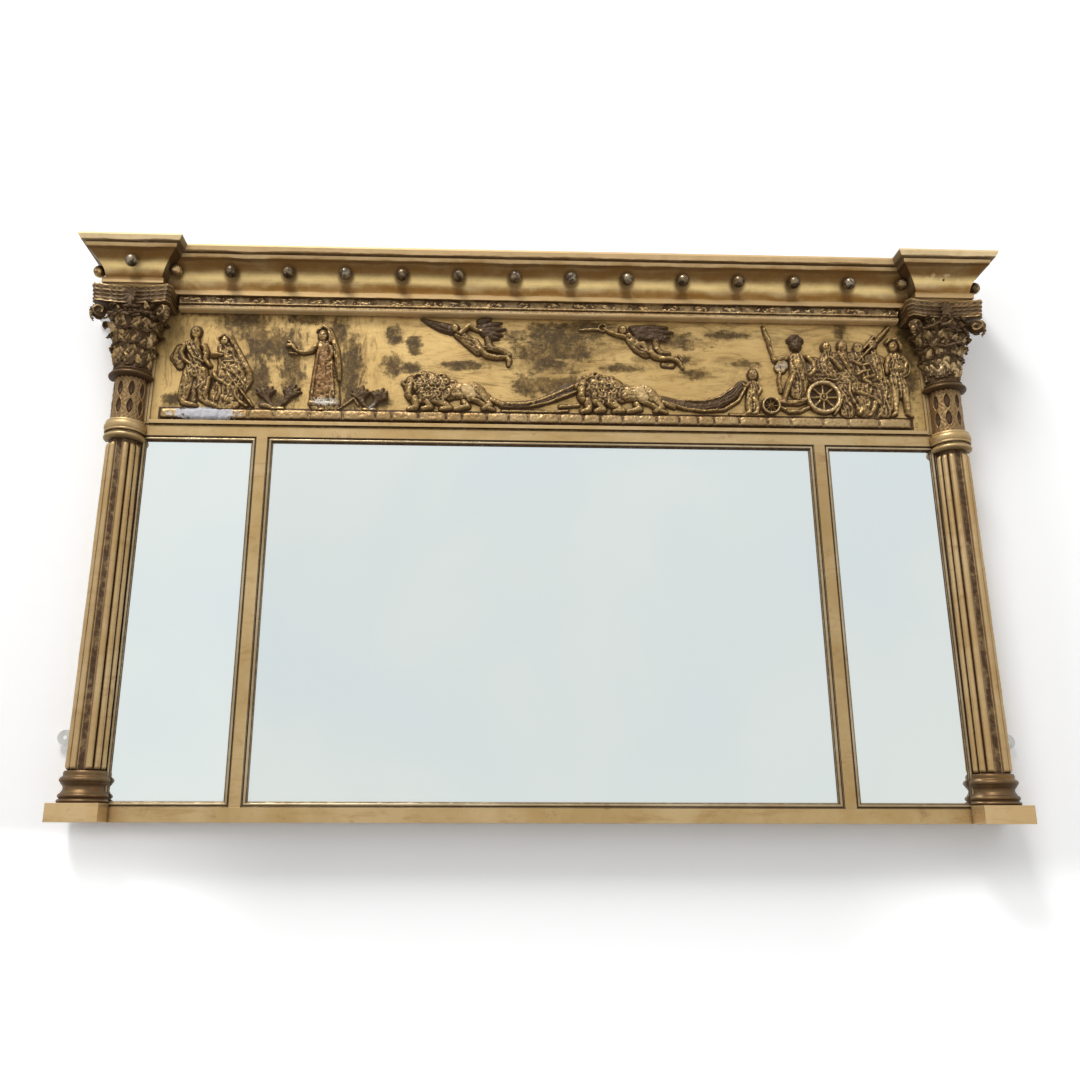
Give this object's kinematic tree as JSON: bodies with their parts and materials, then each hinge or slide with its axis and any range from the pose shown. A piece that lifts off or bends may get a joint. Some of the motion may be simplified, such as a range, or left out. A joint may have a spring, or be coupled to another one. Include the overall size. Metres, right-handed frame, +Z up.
{
  "type": "overmantel mirror",
  "caption": "Gilded overmantel mirror: plates side by side between reeded half columns with leafy capitals, under a relief frieze and a hollow cornice set with balls.",
  "frame": {"origin": "centre of the depth and width at the bottom of the frame, on the shelf", "axes": "+X to the viewer's right along the width, +Y into the wall, +Z up"},
  "size_m": [1.49, 0.1178, 0.906],
  "materials": {
    "gilt_wood": "aged gold leaf on gesso, satin, worn to dark brown in the recesses",
    "gilt_composition": "moulded composition under aged gold leaf, satin, dark in the recesses",
    "dark_gilt": "gold leaf toned down to brown, satin",
    "bronze_gilt": "dull gold leaf over grey brown, worn bright on the high points",
    "silvered_wood": "turned wood with a dull grey metal leaf, dark where it turns away",
    "bare_pine": "old unpainted pine, matte",
    "silvered_glass": "old silvered plate with faint specks",
    "brass": "dull",
    "steel": "dull"
  },
  "bodies": {
    "root": {"bottom_rail": "gilt_wood", "top_rail": "gilt_wood", "left_stile": "gilt_wood", "right_stile": "gilt_wood", "left_mullion": "gilt_wood", "right_mullion": "gilt_wood", "header": "bare_pine", "frieze_board": "gilt_wood", "frieze_fillet": "gilt_wood", "frieze_end_mouldings": "gilt_wood", "bead_strip": "dark_gilt", "leaf_strip": "dark_gilt", "main_cornice": "gilt_wood", "left_end_block": "gilt_wood", "right_end_block": "gilt_wood", "cornice_balls": "silvered_wood", "end_block_balls": "silvered_wood", "left_plinth": "gilt_wood", "left_column_base": "dark_gilt", "left_shaft": "gilt_wood", "left_necking": "bronze_gilt", "left_drum": "gilt_wood", "left_collar": "dark_gilt", "left_capital": "bronze_gilt", "left_abacus": "bronze_gilt", "right_plinth": "gilt_wood", "right_column_base": "dark_gilt", "right_shaft": "gilt_wood", "right_necking": "bronze_gilt", "right_drum": "gilt_wood", "right_collar": "dark_gilt", "right_capital": "bronze_gilt", "right_abacus": "bronze_gilt", "left_plate": "silvered_glass", "centre_plate": "silvered_glass", "right_plate": "silvered_glass", "left_slip": "dark_gilt", "centre_slip": "dark_gilt", "right_slip": "dark_gilt", "left_backboard": "bare_pine", "centre_backboard": "bare_pine", "right_backboard": "bare_pine", "glass_blocks": "bare_pine", "backboard_nails": "steel", "glue_blocks": "bare_pine", "hanging_plates": "brass", "hanging_plate_screws": "steel", "paving": "gilt_composition", "herdsmen": "gilt_composition", "robed_woman": "gilt_composition", "shrubs": "gilt_composition", "left_genius": "gilt_composition", "right_genius": "gilt_composition", "left_lion": "gilt_composition", "right_lion": "gilt_composition", "child": "gilt_composition", "chariot": "gilt_composition", "riders": "gilt_composition", "shield_bearer": "gilt_composition"}
  },
  "joints": []
}
